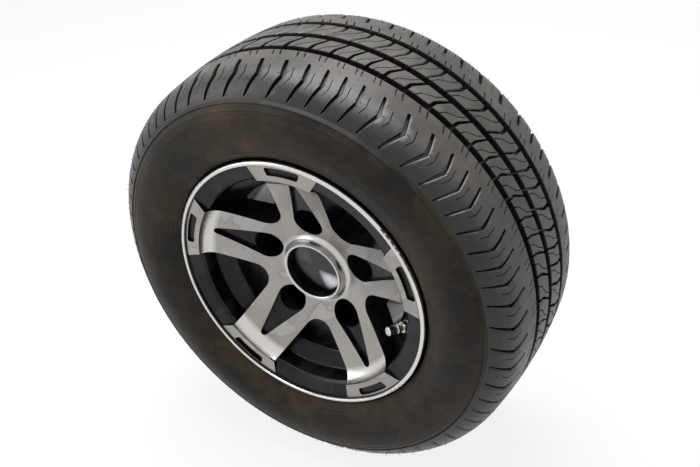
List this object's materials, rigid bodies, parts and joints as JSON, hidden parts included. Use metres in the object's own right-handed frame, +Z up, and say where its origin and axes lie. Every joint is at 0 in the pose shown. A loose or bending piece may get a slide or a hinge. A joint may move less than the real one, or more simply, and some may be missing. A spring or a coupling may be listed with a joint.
{
  "type": "wheel and tyre assembly",
  "caption": "Small wide tyre on a cast five-spoke alloy wheel with a bright dished face, dark pockets and slots, a centre cap and a clamp-in metal valve.",
  "frame": {"origin": "on the wheel axis, midway between the two rim flanges, in the plane of the hub's mounting face", "axes": "+Y along the wheel axis from the outer face to the hub side, +Z up with one spoke straight up, +X to the right seen from the face"},
  "size_m": [0.4664, 0.202, 0.4664],
  "materials": {
    "alloy": "satin",
    "tyre": "matte",
    "cap_black": "matte",
    "cap_bright": "polished",
    "spring_steel": "satin",
    "nickel": "nickel plated",
    "bare_brass": "satin",
    "seal_rubber": "matte"
  },
  "bodies": {
    "wheel": {"tyre": "tyre", "wheel": "alloy", "cap_body": "cap_black", "cap_plate": "cap_bright", "cap_wire": "spring_steel", "valve_stem": "nickel", "valve_grommet": "seal_rubber", "valve_washer": "nickel", "valve_nut": "nickel", "core_plug": "bare_brass", "core_barrel": "bare_brass", "core_gasket": "seal_rubber", "core_spring": "spring_steel"},
    "cap_lift": {"valve_cap_seal": "seal_rubber"},
    "valve_cap": {"valve_cap": "nickel"},
    "core_pin": {"core_pin": "bare_brass", "core_cup": "bare_brass", "core_cup_seal": "seal_rubber"}
  },
  "joints": [
    {"name": "cap_lift", "type": "slide", "parent": "wheel", "child": "cap_lift", "axis": [-0.4898, -0.8572, 0.1592], "range_m": [0, 0.00516]},
    {"name": "cap_turn", "type": "hinge", "parent": "cap_lift", "child": "valve_cap", "pos_m": [0.1008, -0.07198, -0.03275], "axis": [-0.4898, -0.8572, 0.1592], "range_deg": [0, 2340]},
    {"name": "core_press", "type": "slide", "parent": "wheel", "child": "core_pin", "axis": [0.4898, 0.8572, -0.1592], "range_m": [0, 0.0009], "stiffness_N_per_m": 900, "springref_m": -0.002, "deforming": ["core_spring"]}
  ],
  "couplings": [
    {"joint": "cap_turn", "follows": "cap_lift", "rad_per_m": 7915.8}
  ]
}
